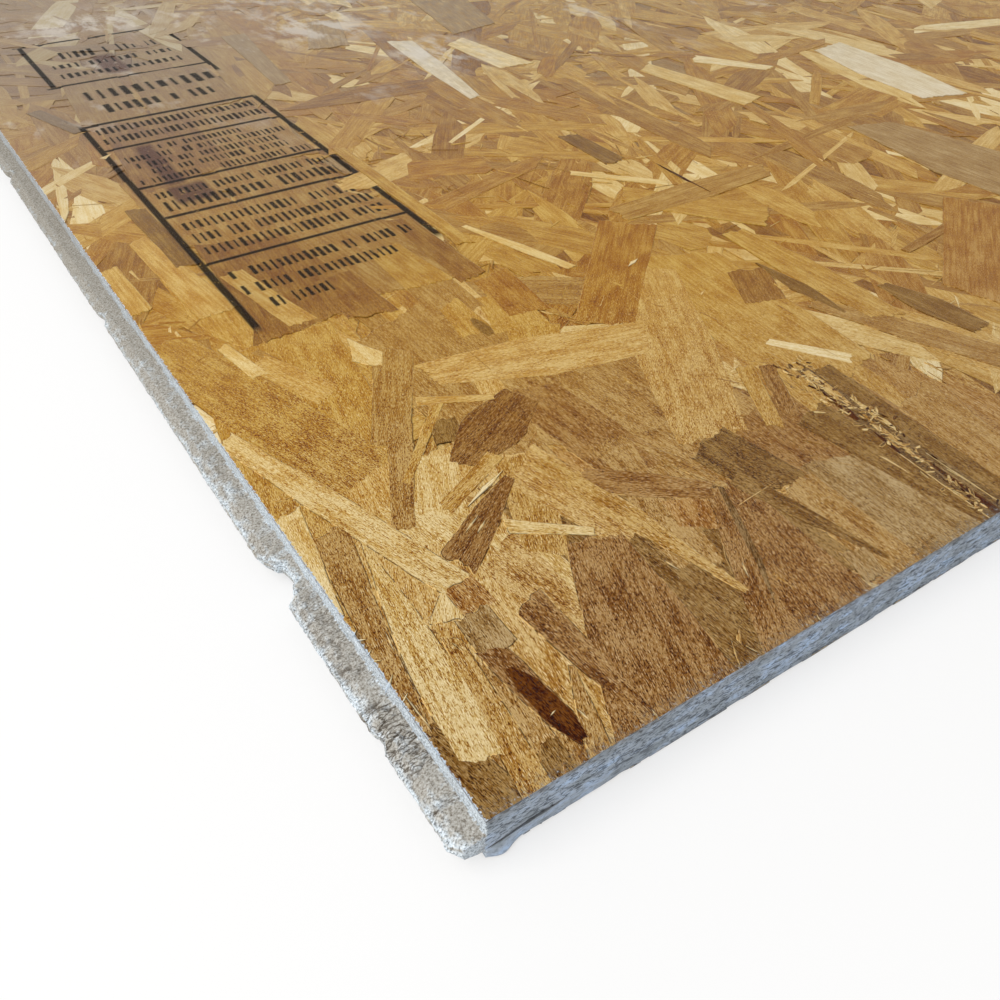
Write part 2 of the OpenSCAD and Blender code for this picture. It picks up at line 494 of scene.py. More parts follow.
def stations(stretches):
    """Distances along an edge from (end, step) stretches."""
    out, start = [0.0], 0.0
    for end, step in stretches:
        count = max(1, round((end - start) / step))
        out += [start + (end - start) * (i + 1) / count for i in range(count)]
        start = end
    return np.array(out)


def tongue_loss(d):
    """How much of the tongue's length is missing at distance d from the near end."""
    loss = 0.14 * (1 + ripple(d / 4.0, 0.5, 3)) + 0.10 * (1 + ripple(d / 1.1, 0.5, 4))
    share, part = zip(*CHIP)
    for start, length, depth in CHIPS:
        loss = loss + depth * np.interp((d - start) / length, share, part, left=0, right=0)
    return loss + CORNER_WEAR[1] * np.clip(1 - d / CORNER_WEAR[0], 0, 1)


def rows_between(low, high, count):
    """count + 1 rows of levels from low to high."""
    return low + (high - low) * np.linspace(0, 1, count + 1)[:, None]


def face_points(d, s, z):
    """Points from distances in mm, stacked as a (rows, columns, 3) block in metres."""
    d, s, z = np.broadcast_arrays(d, s, z)
    return np.stack([NEAR_X - d * MM, SHOULDER_Y + s * MM, TOP_Z + z * MM], axis=-1)


def patch(left, right, bottom, top):
    """A block of points that fills four borders and meets them exactly."""
    v = np.linspace(0, 1, len(left))[:, None, None]
    run = np.linalg.norm(np.diff(bottom, axis=0), axis=1).cumsum()
    u = (np.concatenate([[0], run]) / run[-1])[None, :, None]
    corners = ((1 - u) * (1 - v) * left[0] + u * (1 - v) * right[0]
               + (1 - u) * v * left[-1] + u * v * right[-1])
    block = ((1 - u) * left[:, None] + u * right[:, None]
             + (1 - v) * bottom[None] + v * top[None] - corners)
    block[0], block[-1], block[:, 0], block[:, -1] = bottom, top, left, right
    return block


def paint(mesh, name, values):
    """Paints a number on each vertex."""
    mesh.attributes.new(name, "FLOAT", "POINT").data.foreach_set("value", values)


class Shell:
    """One closed mesh gathered block by block, with painted numbers at each vertex."""

    def __init__(self):
        self.points, self.faces, self.material = [], [], []
        self.paint = {"seal": [], "pit": [], "torn": [], "crack": []}

    def grid(self, block, seal=1.0, pit=0.0, torn=0.0, crack=0.0):
        """Adds a block of points as a skin of quads."""
        rows, columns = block.shape[:2]
        first = len(self.points)
        self.points += block.reshape(-1, 3).tolist()
        for name, value in (("seal", seal), ("pit", pit), ("torn", torn), ("crack", crack)):
            self.paint[name] += np.clip(np.broadcast_to(value, (rows, columns)), 0, 1).ravel().tolist()
        ids = np.arange(first, first + rows * columns).reshape(rows, columns)
        quads = np.stack([ids[:-1, :-1], ids[1:, :-1], ids[1:, 1:], ids[:-1, 1:]], axis=-1).reshape(-1, 4)
        self.faces += quads.tolist()
        self.material += [0] * len(quads)
        return block

    def lid(self, loop, material):
        """Adds one flat face over a loop of points."""
        first = len(self.points)
        self.points += loop.tolist()
        for values in self.paint.values():
            values += [0.0] * len(loop)
        self.faces.append(list(range(first, first + len(loop))))
        self.material.append(material)

    def finish(self, name, materials):
        """Welds the blocks into one closed mesh with its faces outward."""
        mesh = bpy.data.meshes.new(name)
        mesh.from_pydata(self.points, [], self.faces)
        for key, values in self.paint.items():
            paint(mesh, key, values)
        mesh.polygons.foreach_set("material_index", self.material)
        for material in materials:
            mesh.materials.append(material)
        work = bmesh.new()
        work.from_mesh(mesh)
        bmesh.ops.remove_doubles(work, verts=work.verts, dist=2e-6)
        bmesh.ops.recalc_face_normals(work, faces=work.faces)
        work.to_mesh(mesh)
        work.free()
        return mesh


def end_levels(s, near):
    """Heights of the rows down a sawn end at each distance s across, lowest row first."""
    last = FACE_W - GROOVE
    lower_mark = along(s, [(0, TONGUE_UNDER[0][1]), (last, GROOVE_UNDER[-1][1])])
    upper_mark = along(s, [(0, TONGUE_TOP[0][1]), (last, GROOVE_TOP[-1][1])])
    low = rows_between(np.full_like(s, FACE_DROP - THICK), lower_mark, ROWS[0])
    mid = rows_between(lower_mark, upper_mark, ROWS[1])
    high = rows_between(upper_mark, np.full_like(s, -FACE_DROP), ROWS[2])
    if near:
        half = along(s, SPLIT_GAP) / 2
        split = along(s, SPLIT_MIDDLE)
        held = np.vstack([mid[:1], split - half, split, split + half,
                          rows_between(split + half, upper_mark, ROWS[1] - 3)[1:]])
        fade = np.clip((s - 26) / 30, 0, 1)
        mid = held * (1 - fade) + mid * fade
    return np.vstack([low, mid[1:], high[1:]])


def end_relief(s, z, near):
    """How far a sawn end stands out, and how pitted it is: strand ends in thin flat layers."""
    out = 0.10 * ripple(s / 7.0, z / 0.75, 11) + 0.07 * ripple(s / 2.2, z / 0.6, 12)
    void = np.clip(ripple(s / 4.5, z / 0.8, 13) - 0.62, 0, 1) * 2.2
    out, pit = out - void * 0.7, void * 0.9
    if near:
        out = out + 1.6 * np.exp(-((s - 4.5) / 3.6) ** 2) * np.clip((-13.2 - z) / 4.0, 0, 1)
        gap = along(s, SPLIT_GAP)
        inside = (np.abs(z - along(s, SPLIT_MIDDLE)) < 0.02) & (gap > 0.11)
        out = np.where(inside, -SPLIT_DEPTH * np.sqrt(gap / WIDEST_SPLIT), out)
        lip = (np.abs(np.abs(z - along(s, SPLIT_MIDDLE)) - gap / 2) < 0.02) & (gap > 0.11)
        pit = np.where(inside, 1.0, np.where(lip, 0.85, pit))
    return out, pit


def tongue_side(shell, d):
    """The torn edge swept along the panel: lower edge, tongue underside, nose, top and shoulder."""
    columns = np.concatenate([np.linspace(0, FLAT_TOP, 8), np.linspace(FLAT_TOP, TONGUE, 6)[1:]])
    columns = columns[:, None] / TONGUE
    reach = TONGUE - tongue_loss(d)[None, :]
    row = d[None, :]
    out_s = columns * reach
    fade = np.clip(out_s / 0.8, 0, 1) * np.clip((reach - out_s) / 0.8, 0, 1)
    crease = np.clip(1 - 4 * np.abs(ripple(row / 2.4 + out_s / 6.0, out_s / 6.0, 23)), 0, 1)
    torn = along(d, TORN)[None, :]
    dig = (0.8 * crease + 0.35 * np.clip(ripple(row / 1.2, out_s / 2.4, 24), -0.3, 1)) * torn * fade
    top_z = along(out_s, TONGUE_TOP) - dig + 0.12 * ripple(row / 6.0, out_s / 3.0, 25) * fade
    under_z = along(out_s, TONGUE_UNDER)
    rim = np.exp(-((reach - out_s) / 1.1) ** 2)
    cover = (0.22 + 0.6 * rim + 0.25 * np.exp(-((out_s - FLAT_TOP) / 0.6) ** 2)
             + 0.35 * ripple(row / 7.0, out_s / 4.0, 33))
    top = shell.grid(face_points(row, -out_s, top_z), cover, dig * 1.2, 1.0, torn)
    under = shell.grid(face_points(row, -out_s, under_z), 0.4, 0.1, 1.0)

    levels = rows_between(under_z[-1], top_z[-1], ROWS[1])
    inner = np.sin(np.linspace(0, math.pi, ROWS[1] + 1))[:, None]
    rough = inner * (0.35 * ripple(row / 1.2, levels / 0.6, 26) + 0.25)
    pit = np.clip(ripple(row / 1.6, levels / 0.9, 28) - 0.35, 0, 1) * 1.6
    cover = 0.65 + 0.35 * ripple(row / 5, levels, 27)
    nose = shell.grid(face_points(row, -reach - rough, levels), cover, pit, 1.0, torn)

    levels = rows_between(np.full_like(d, TONGUE_TOP[0][1]), np.full_like(d, -FACE_DROP), ROWS[2])
    held = np.concatenate([[0.0], np.ones(ROWS[2])])[:, None]
    bite = np.clip(ripple(row / 2.5, levels / 0.8, 30) - 0.5, 0, 1)
    rough = held * (0.10 * ripple(row / 3.0, 0.5, 21) + 0.08 * ripple(row / 0.9, 0.5, 22)
                    + 0.10 * ripple(row / 1.5, levels / 0.7, 29) + 0.5 * bite)
    levels[0] = top_z[0]
    shoulder = shell.grid(face_points(row, rough, levels), 0.9, bite * 1.4, 0.9)

    levels = rows_between(np.full_like(d, FACE_DROP - THICK), under_z[0], ROWS[0])
    held = np.concatenate([np.ones(ROWS[0]), [0.0]])[:, None]
    rough = held * 0.3 * ripple(row / 3.0, levels / 1.5, 31)
    lower = shell.grid(face_points(row, rough, levels), 0.8, 0, 0.6)
    return lower, under, nose, top, shoulder


def groove_side(shell, d):
    """The clean edge: lower lip, groove underside, floor and top, upper lip."""
    lip = np.array([0, 1.3, FLAT_UNDER, 4.1, FLAT_TOP, 7.9, GROOVE])[:, None]
    row = d[None, :]
    wave = 0.08 * np.clip(lip / 2, 0, 1) * np.clip((GROOVE - lip) / 2, 0, 1)
    top_z = along(lip, GROOVE_TOP) + wave * ripple(row / 9.0, lip / 2, 41)
    under_z = along(lip, GROOVE_UNDER) + wave * ripple(row / 9.0, lip / 2, 42)
    top = shell.grid(face_points(row, FACE_W - lip, top_z), 0.8)
    under = shell.grid(face_points(row, FACE_W - lip, under_z), 0.8)
    levels = rows_between(under_z[-1], top_z[-1], ROWS[1])
    floor = shell.grid(face_points(row, FACE_W - GROOVE, levels), 0.7)
    levels = rows_between(top_z[0], np.full_like(d, -FACE_DROP), ROWS[2])
    upper = shell.grid(face_points(row, FACE_W, levels))
    levels = rows_between(np.full_like(d, FACE_DROP - THICK), under_z[0], ROWS[0])
    lower = shell.grid(face_points(row, FACE_W, levels))
    return lower, under, floor, top, upper


def sawn_end(shell, tongue, groove, column, s, near):
    """A sawn end that fills the borders left by the two sides at their first or last station."""
    t_lower, t_under, nose, t_top, shoulder = [part[:, column] for part in tongue]
    g_lower, g_under, floor, g_top, g_upper = [part[:, column] for part in groove]
    z = end_levels(s, near)
    body = face_points(0 if near else LENGTH, s[None, :], z)
    root = body[ROWS[0]:ROWS[0] + ROWS[1] + 1, 0].copy()
    root[0], root[-1] = t_under[0], t_top[0]
    out, pit = end_relief(s[None, :], z, near)
    out = out * np.clip(s / 1.5, 0, 1) * np.clip((s[-1] - s) / 1.5, 0, 1)
    body[..., 0] += (out if near else -out) * MM
    body[:, 0] = np.vstack([t_lower, root[1:-1], shoulder])
    inward = [0, GROOVE * MM, 0]
    body[:, -1] = np.vstack([g_lower - inward, floor[1:-1], g_upper - inward])
    low_end, high_end = ROWS[0], ROWS[0] + ROWS[1]
    body[:low_end + 1, -1, 2] = np.linspace(g_lower[0][2], g_under[-1][2], ROWS[0] + 1)
    body[high_end:, -1, 2] = np.linspace(g_top[-1][2], g_upper[-1][2], ROWS[2] + 1)
    shell.grid(body, 1.0, pit)
    shell.grid(patch(nose, root, t_under[::-1], t_top[::-1]), 0.7, 0.0, 0.7)
    inside_low, inside_high = body[:low_end + 1, -1], body[high_end:, -1]
    low_edge = np.linspace(inside_low[0], g_lower[0], len(g_under))
    high_edge = np.linspace(inside_high[-1], g_upper[-1], len(g_top))
    shell.grid(patch(inside_low, g_lower, low_edge, g_under[::-1]))
    shell.grid(patch(inside_high, g_upper, g_top[::-1], high_edge))
    return np.vstack([body[-1], high_edge[1:]]), np.vstack([body[0], low_edge[1:]])


def body_mesh(materials):
    """The sawn board as one closed mesh, with its two faces left flat for the strands."""
    shell = Shell()
    d = stations([(240, 0.5), (620, 1.4), (LENGTH - 40, 12), (LENGTH, 4)])
    tongue = tongue_side(shell, d)
    groove = groove_side(shell, stations([(40, 4), (LENGTH - 40, 12), (LENGTH, 4)]))
    last = FACE_W - GROOVE
    near_s = stations([(240, 0.7), (last - 20, 5), (last, 1.5)])
    far_s = stations([(30, 1.5), (last - 20, 6), (last, 1.5)])
    near_top, near_low = sawn_end(shell, tongue, groove, 0, near_s, True)
    far_top, far_low = sawn_end(shell, tongue, groove, -1, far_s, False)
    shell.lid(np.vstack([tongue[4][-1][:-1], far_top[:-1], groove[4][-1][:0:-1], near_top[:0:-1]]), 1)
    shell.lid(np.vstack([tongue[0][0][:-1], far_low[:-1], groove[0][0][:0:-1], near_low[:0:-1]]), 2)
    return shell.finish("osb_body", materials)


# ---------------------------------------------------------------- strands

def strand_outline(length, widths, dice):
    """A strand from above, along u from 0 to length: split sides that wander and torn ends, in mm."""
    count = max(4, int(length / 6))
    half = np.interp(np.linspace(0, 1, count), np.linspace(0, 1, len(widths)), widths) / 2
    start_slant, end_slant = [dice.uniform(-0.45, 0.45) * w for w in (half[0], half[-1])]

    def split_side(side):
        wander, points = 0.0, []
        for u, h in zip(np.linspace(side * start_slant, length + side * end_slant, count), half):
            wander = 0.7 * wander + dice.uniform(-0.25, 0.25)
            points.append((u, side * (h + min(wander, 0.1 * h))))
        return points

    def torn_end(place, sign, slant, half_width):
        teeth = max(2, int(half_width / 0.7))
        reach = min(1.1, half_width * 0.25)
        out, points = 0.0, []
        for i in range(teeth):
            v = 1 - 2 * (i + 1) / (teeth + 1)
            out = 0.5 * out + dice.uniform(-reach, reach)
            points.append((place + out + slant * v, sign * half_width * v))
        return points

    upper, lower = split_side(1), split_side(-1)
    far_end = torn_end(length, 1, end_slant, half[-1])
    near_end = torn_end(0, -1, -start_slant, half[0])
    return upper + far_end + lower[::-1] + near_end


def shrink(outline, margin):
    """The outline moved inward by margin, corner by corner."""
    points = np.array(outline)
    before, after = points - np.roll(points, 1, axis=0), np.roll(points, -1, axis=0) - points
    before /= np.linalg.norm(before, axis=1)[:, None] + 1e-6
    after /= np.linalg.norm(after, axis=1)[:, None] + 1e-6
    inward = np.stack([before[:, 1] + after[:, 1], -before[:, 0] - after[:, 0]], axis=1)
    size = np.linalg.norm(inward, axis=1)[:, None]
    return points + inward / np.maximum(size, 0.6) * margin


class Pile:
    """Thin closed plates gathered into one mesh, with grain coordinates and painted numbers."""

    # The bevel round the top of a plate, across and down, in mm
    rim_w, rim_drop = 0.45, 0.16

    def __init__(self):
        self.points, self.faces, self.grain, self.values = [], [], [], []

    def plate(self, outline, turn, at, top, thick, values):
        """A plate lying flat: outline in mm, turn in radians, at (d, s), top and thickness in mm."""
        ring, inner = np.array(outline), shrink(outline, self.rim_w)
        count, first = len(ring), len(self.points)
        cos, sin = math.cos(turn), math.sin(turn)
        for shape, z, rim in ((ring, top - thick, 0), (ring, top - self.rim_drop, 0), (inner, top, 1)):
            for u, v in shape:
                self.points.append(place(at[0] + u * cos - v * sin, at[1] + u * sin + v * cos, z))
                self.grain.append((u * MM, v * MM))
                self.values.append((*values, rim))
        starts = [first + k * count for k in range(3)]
        bottom, middle, top_ring = [list(range(start, start + count)) for start in starts]
        self.faces += [bottom, top_ring[::-1]]
        for low, high in ((bottom, middle), (middle, top_ring)):
            self.faces += [[low[i - 1], high[i - 1], high[i], low[i]] for i in range(count)]

    def finish(self, name):
        """One mesh of all the plates."""
        mesh = bpy.data.meshes.new(name)
        mesh.from_pydata(self.points, [], self.faces)
        uv = mesh.uv_layers.new(name="grain")
        corners = np.empty(len(mesh.loops), int)
        mesh.loops.foreach_get("vertex_index", corners)
        uv.data.foreach_set("uv", np.array(self.grain)[corners].ravel())
        for key, column in zip(("tone", "fleck", "rim"), np.array(self.values).T):
            paint(mesh, key, column)
        return mesh


def strand_templates(name, count, stops, lengths, widths):
    """A collection of plain strands of many lengths and widths, with a corner each side at every stop."""
    dice = random.Random(7)
    collection = bpy.data.collections.new(name)
    for i in range(count):
        length, width = dice.choice(lengths), dice.choice(widths)
        taper = [dice.uniform(0.15, 0.8), dice.uniform(0.15, 0.8)]
        slant = dice.uniform(-0.8, 0.8) * width
        upper, lower = [], []
        for stop in stops:
            full = min(1.0, taper[0] + 5 * stop, taper[1] + 5 * (1 - stop)) * width / 2
            lean = slant * (2 * stop - 1) ** 3
            u = (stop - 0.5) * length
            upper.append((u + lean, full * dice.uniform(0.8, 1.1)))
            lower.append((u - lean, -full * dice.uniform(0.8, 1.1)))
        pile = Pile()
        pile.plate(upper + lower[::-1], 0.0, (0, 0), 0.0, 0.4, (0, 0))
        mesh = pile.finish(f"{name}_{i}")
        mesh.transform(Matrix.Translation(-Vector(place(0, 0, 0))))
        mesh.transform(Matrix.Rotation(math.pi, 4, "Z"))
        for key in ("tone", "fleck"):
            mesh.attributes.remove(mesh.attributes[key])
        collection.objects.link(bpy.data.objects.new(mesh.name, mesh))
    return collection


# How far a scattered strand may be out of level, in radians
TILT = 0.0016


def scatter_tree():
    """Strands at random over a face, mostly along the board, at slightly different heights and tilts."""
    tree = bpy.data.node_groups.new("scattered_strands", "GeometryNodeTree")
    add = partial(add_node, tree)
    panel = tree.interface
    panel.new_socket("Geometry", in_out="INPUT", socket_type="NodeSocketGeometry")
    for name, kind, value in (
            ("Strands", "Collection", None), ("Density", "Float", 1000.0), ("Seed", "Int", 1),
            ("Height Spread", "Float", 0.3 * MM), ("Tilt", "Float", TILT), ("Material", "Material", None)):
        socket = panel.new_socket(name, in_out="INPUT", socket_type="NodeSocket" + kind)
        if value is not None:
            socket.default_value = value
    panel.new_socket("Geometry", in_out="OUTPUT", socket_type="NodeSocketGeometry")
    given = add("NodeGroupInput").outputs
    points = add("GeometryNodeDistributePointsOnFaces", {
        "Mesh": given["Geometry"], "Density": given["Density"], "Seed": given["Seed"]})

    def dice(low, high, seed):
        """A random number for each strand; its limits go into the node's inputs 2 and 3."""
        seed = add("+", given["Seed"], seed)
        return add("FunctionNodeRandomValue FLOAT", {2: low, 3: high, "Seed": seed})

    # most strands lie near the board's length: the turn grows as a power of an even swing
    swing = dice(-1.0, 1.0, 11)
    bend = add("Math POWER", add("Math ABSOLUTE", swing), 1.7)
    turn = add("*", bend, add("Math SIGN", swing))
    turn = add("*", turn, 1.5)
    tilt_x = add("*", dice(-1.0, 1.0, 12), given["Tilt"])
    tilt_y = add("*", dice(-1.0, 1.0, 13), given["Tilt"])
    drop = add("*", dice(-1.0, 0.0, 14), given["Height Spread"])
    lowered = add("GeometryNodeSetPosition", {
        "Geometry": points, "Offset": add("CombineXYZ", 0.0, 0.0, drop)})
    kinds = add("GeometryNodeCollectionInfo", given["Strands"], True, True)
    size = dice(0.75, 1.2, 15)
    placed = add("GeometryNodeInstanceOnPoints", {
        "Points": lowered, "Instance": kinds, "Pick Instance": True,
        "Rotation": add("CombineXYZ", tilt_x, tilt_y, turn),
        "Scale": add("CombineXYZ", size, size, 1.0)})
    tone = add("+", dice(0.185, 0.475, 16), dice(0.185, 0.475, 18))
    for name, value in (("tone", tone), ("fleck", dice(0.0, 1.0, 17))):
        placed = add("GeometryNodeStoreNamedAttribute FLOAT", {
            "Geometry": placed, "Name": name, "Value": value}, domain="INSTANCE")
    real = add("GeometryNodeRealizeInstances", placed)
    dressed = add("GeometryNodeSetMaterial", {"Geometry": real, "Material": given["Material"]})
    add("NodeGroupOutput", {"Geometry": dressed})
    return tree


def in_scene(name, data):
    """Puts a mesh, light or camera in the scene."""
    thing = bpy.data.objects.new(name, data)
    bpy.context.scene.collection.objects.link(thing)
    return thing


def scattered(tree, collection, spans, density, seed, material, lift, spread):
    """Strands over a stretch of a face (d0, d1, s0, s1), their tops from lift down by spread, in mm."""
    d0, d1, s0, s1 = spans
    mesh = bpy.data.meshes.new("face_stretch")
    corners = [place(d1, s0, lift), place(d0, s0, lift), place(d0, s1, lift), place(d1, s1, lift)]
    mesh.from_pydata(corners, [], [(0, 1, 2, 3)])
    holder = in_scene("face_stretch", mesh)
    modifier = holder.modifiers.new("strands", "NODES")
    modifier.node_group = tree
    values = {"Strands": collection, "Density": density, "Seed": seed, "Height Spread": spread * MM,
              "Tilt": TILT, "Material": material}
    for item in tree.interface.items_tree:
        if item.item_type == "SOCKET" and item.in_out == "INPUT" and item.name in values:
            modifier[item.identifier] = values[item.name]
    bpy.context.view_layer.update()
    seen = holder.evaluated_get(bpy.context.evaluated_depsgraph_get())
    result = bpy.data.meshes.new_from_object(seen)
    bpy.data.objects.remove(holder)
    return result


# ---------------------------------------------------------------- the strands that give the corner its look

# Lowest first: one end (d, s), the other end (d, s), widths along it in mm, wood, how flecked it is
NEAR_STRANDS = [
    (-8, 10, 60, 20, (60,), "tan", 0.4), (40, 30, 130, 60, (70,), "straw", 0.3),
    (-8, 110, 90, 105, (80,), "umber", 0.4), (60, 150, 160, 140, (70,), "tan", 0.4),
    (-8, 190, 90, 190, (70,), "brown", 0.4), (110, 20, 230, 40, (60,), "honey", 0.4),
    (110, 100, 220, 100, (60,), "tan", 0.3), (80, 220, 200, 230, (50,), "honey", 0.3),
    # under strands near the end
    (-8, 47, 22, 43, (11,), "straw", 0.3), (8, 40, 62, 45, (15, 17), "straw", 0.2),
    (-8, 24, 15, 25, (10, 8), "umber", 0.3), (10, 24, 36, 26, (10, 7), "tan", 0.4),
    (32, 62, 82, 60, (14, 18, 14), "pale", 0.3), (58, 36, 74, 35, (12,), "amber", 0.5),
    (-8, 55, 30, 60, (14, 4), "honey", 0.3), (20, 60, 77, 54, (6, 15, 21), "straw", 1.0),
    (36, 104, 64, 108, (16, 20), "tan", 0.3), (60, 106, 78, 112, (14, 12), "tan", 0.6),
    (46, 118, 62, 122, (20,), "amber", 0.4), (20, 112, 42, 121, (7, 4), "pale", 0.9),
    (112, 28, 136, 32, (24, 30), "straw", 0.2), (132, 95, 160, 103, (14, 10), "straw", 0.2),
    (88, 44, 112, 40, (24, 18), "pale", 0.7), (100, 48, 128, 62, (18, 14), "pale", 0.5),
    (185, 143, 160, 128, (24, 20), "honey", 0.3), (180, 136, 212, 142, (26, 20), "honey", 0.3),
    (90, 236, 118, 216, (8, 5), "ivory", 0.2), (205, 120, 250, 122, (26, 22), "tan", 0.4),
    (196, 44, 226, 34, (4,), "brown", 0.2), (130, 70, 146, 75, (12, 10), "umber", 0.2),
    # broad pieces
    (-14, 118, 62, 136, (50, 30, 14), "brown", 0.8), (-8, 180, 50, 180, (34, 30), "grey", 0.5),
    (66, 66, 112, 86, (15, 18), "honey", 0.6), (82, 118, 145, 112, (26, 24), "brown", 0.3),
    (58, 96, 108, 84, (20, 24), "straw", 0.6), (72, 114, 102, 118, (8, 18), "tan", 0.6),
    (96, 140, 124, 138, (24, 20), "tan", 0.6), (131, 36, 252, 2, (26, 30, 24), "honey", 1.0),
    (82, 152, 196, 212, (28, 36, 34), "straw", 0.9), (173, 84, 148, 176, (16, 30, 24), "straw", 0.5),
    (166, 168, 236, 238, (26, 30), "amber", 0.4), (142, 240, 168, 254, (20,), "brown", 0.4),
    (190, 146, 228, 150, (20,), "amber", 0.3), (188, 118, 216, 120, (16, 12), "honey", 0.4),
    (184, 122, 200, 122, (3, 8, 2), "umber", 0.3), (182, 46, 218, 32, (14, 12), "straw", 0.4),
    (0, 100, 62, 134, (6, 12, 5), "plum", 0.4), (-8, 96, 62, 132, (11, 9, 5), "brown", 0.6),
    (48, 154, 82, 148, (22, 24), "umber", 0.9), (-8, 156, 48, 158, (18,), "tan", 0.4),
    (6, 156, 62, 142, (3, 8, 9), "umber", 0.6), (2, 146, 15, 149, (9, 11), "grey", 0.3),
    (-8, 200, 74, 193, (8, 16, 20), "umber", 0.5), (-8, 214, 92, 218, (12, 14), "umber", 0.5),
    (-8, 205, 62, 208, (13, 10), "plum", 0.5),
    (18, 203, 96, 213, (5, 7, 9, 6), "plum", 0.9), (-8, 203.5, 30, 206.5, (4.5, 4, 2), "bark", 0.6),
    (-8, 228, 60, 236, (20, 24), "tan", 0.4),
    (60, 132, 90, 96, (9, 14, 12), "brown", 0.4), (74, 176, 110, 195, (7, 8), "honey", 0.4),
    (76, 186, 106, 203, (7,), "brown", 0.5), (140, 50, 196, 82, (15, 16), "tan", 0.3),
    (100, 33, 152, 60, (9, 10), "tan", 0.7), (120, 45, 158, 81, (4, 5), "honey", 0.4),
    (118, 66, 142, 108, (10, 27, 16), "rust", 0.5), (102, 50, 117, 80, (7,), "honey", 0.3),
    (-8, 60, 64, 83, (44, 33, 19), "brown", 0.6), (20, 108, 106, 91, (3, 10, 8), "honey", 0.3),
    (59, 137, 100, 124, (3, 7, 1), "tan", 0.4), (160, 71, 146, 99, (6, 4), "straw", 0.2),
    # the torn channel that runs in from the near end; its dark strips are painted shade down in the crack
    (-8, 198.6, 40, 201.6, (0.8, 1.6, 0.8), "pale", 0.3), (4, 209, 34, 210, (0.8, 1.5, 0.8), "ivory", 0.2),
    (-4, 203.6, 28, 206, (3.4, 2.6, 0.5), "dark", 0.3), (30, 204.6, 62, 209.4, (1, 4.0, 1.8), "honey", 0.6),
    (38, 202, 54, 204.4, (1.6, 3.0, 0.6), "dark", 0.3), (46, 212, 72, 214, (1.4, 4.4, 1.4), "pale", 0.4),
    (60, 204.8, 76, 207.4, (2, 4.2, 2), "dark", 0.3), (68, 209.4, 94, 213, (3, 6, 3.4), "straw", 0.4),
    (72, 203, 100, 207.5, (2.4, 4.6, 3), "honey", 0.5), (88, 206, 112, 210, (3, 5, 2), "honey", 0.5),
    # slender and top ones
    (-8, 8, 31, 1, (14, 12), "umber", 0.4), (28, -6, 68, 5, (9, 10), "plum", 0.4),
    (78, -1, 128, 5, (4, 10), "pale", 0.3), (-8, 14, 54, 23, (10, 8, 6), "honey", 0.6),
    (30, -1, 114, 13, (6, 9, 13), "tan", 0.6), (-6, 33, 27, 46, (8, 6, 2), "tan", 0.4),
    (15, 8.5, 104, 19.5, (12, 14, 8, 0.8), "pale", 0.6), (-8, 54, 53, 49.5, (5, 9, 12), "brown", 0.8),
    (59, 25, 70, 30, (12, 1.5), "pale", 0.2), (42, 32, 59, 33, (13, 12), "grey", 0.3),
    (5, 34, 44, 30, (3.5, 8.4, 9, 9.4, 9.4, 9), "rust", 0.4),
    (5, 34, 36, 30.8, (3.5, 7.8, 8.8, 8.6, 8, 3), "dark", 0.5),
    (5, 34, 25, 32, (3.4, 7, 8.4, 8.2, 2), "dark", 0.2),
    (84, 62, 66, 85, (7, 4), "pale", 0.3),
    (78, 40, 104, 77, (14, 11, 4), "rust", 0.4), (71, 35, 177, 2, (12, 12, 9), "pale", 0.7),
    (189, 71, 214, 70, (3, 14, 6, 1), "pale", 0.1), (207, 29, 236, 24, (7, 5), "pale", 0.2),
    (213, 186, 277, 166, (5, 6, 3), "pale", 0.1),
    # farther across, by the near end
    (262, 452, 120, 456, (30, 58, 50), "grey", 0.2), (130, 256, 40, 298, (8, 18, 16), "tan", 0.6),
    (170, 262, 116, 262, (1.5, 10, 2), "umber", 0.3), (124, 296, 76, 302, (6, 18, 12), "umber", 0.4),
    (200, 276, 104, 276, (14, 22, 16), "honey", 0.5), (140, 332, 146, 374, (5, 7), "brown", 0.3),
    (152, 412, 88, 326, (42, 42), "amber", 0.5),
    # farther along the board, the plain wood under the print first
    (232, 66, 330, 74, (52, 58), "brown", 0.6), (236, 118, 340, 108, (46, 50), "tan", 0.5),
    (322, 60, 420, 56, (46, 40), "tan", 0.4), (318, 104, 410, 112, (56, 50), "tan", 0.6),
    (402, 122, 500, 116, (48, 54), "tan", 0.4), (404, 70, 520, 78, (56, 50), "brown", 0.6),
    (500, 112, 590, 120, (60, 50), "tan", 0.5), (505, 62, 600, 70, (40, 36), "tan", 0.4),
    (262, 33, 348, 24, (18, 14, 10), "straw", 0.4), (310, 36, 382, 34, (12, 10), "umber", 0.5),
    (280, 5, 326, 4, (10, 8), "straw", 0.3), (235, 60, 293, 50, (13, 12), "straw", 0.5),
    (225, 88, 266, 88, (22, 18), "brown", 0.6), (235, 122, 276, 120, (24, 18), "honey", 0.4),
    (230, 142, 301, 142, (15, 12), "brown", 0.4), (260, 157, 401, 157, (9, 7), "honey", 0.3),
    (262, 256, 204, 304, (22, 26), "honey", 0.4), (246, 240, 246, 346, (16, 22, 14), "tan", 0.4),
    (262, 287, 301, 250, (7, 6), "pale", 0.2), (300, 282, 346, 282, (15, 12), "umber", 0.5),
    (502, 40, 552, 24, (9,), "plum", 0.3),
    (270, 536, 386, 552, (34, 44, 30), "bleached", 0.3), (430, 270, 562, 287, (8, 16, 18), "bleached", 0.3),
    (575, 236, 640, 262, (30, 24), "grey", 0.4),
    (560, 352, 660, 374, (40, 46), "grey", 0.5), (520, 176, 640, 188, (12, 18), "grey", 0.4),
    (372, 478, 416, 447, (10, 16), "ivory", 0.3),
    (470, 330, 540, 322, (26, 20), "ivory", 0.3), (330, 420, 420, 404, (22, 16), "pale", 0.4),
]
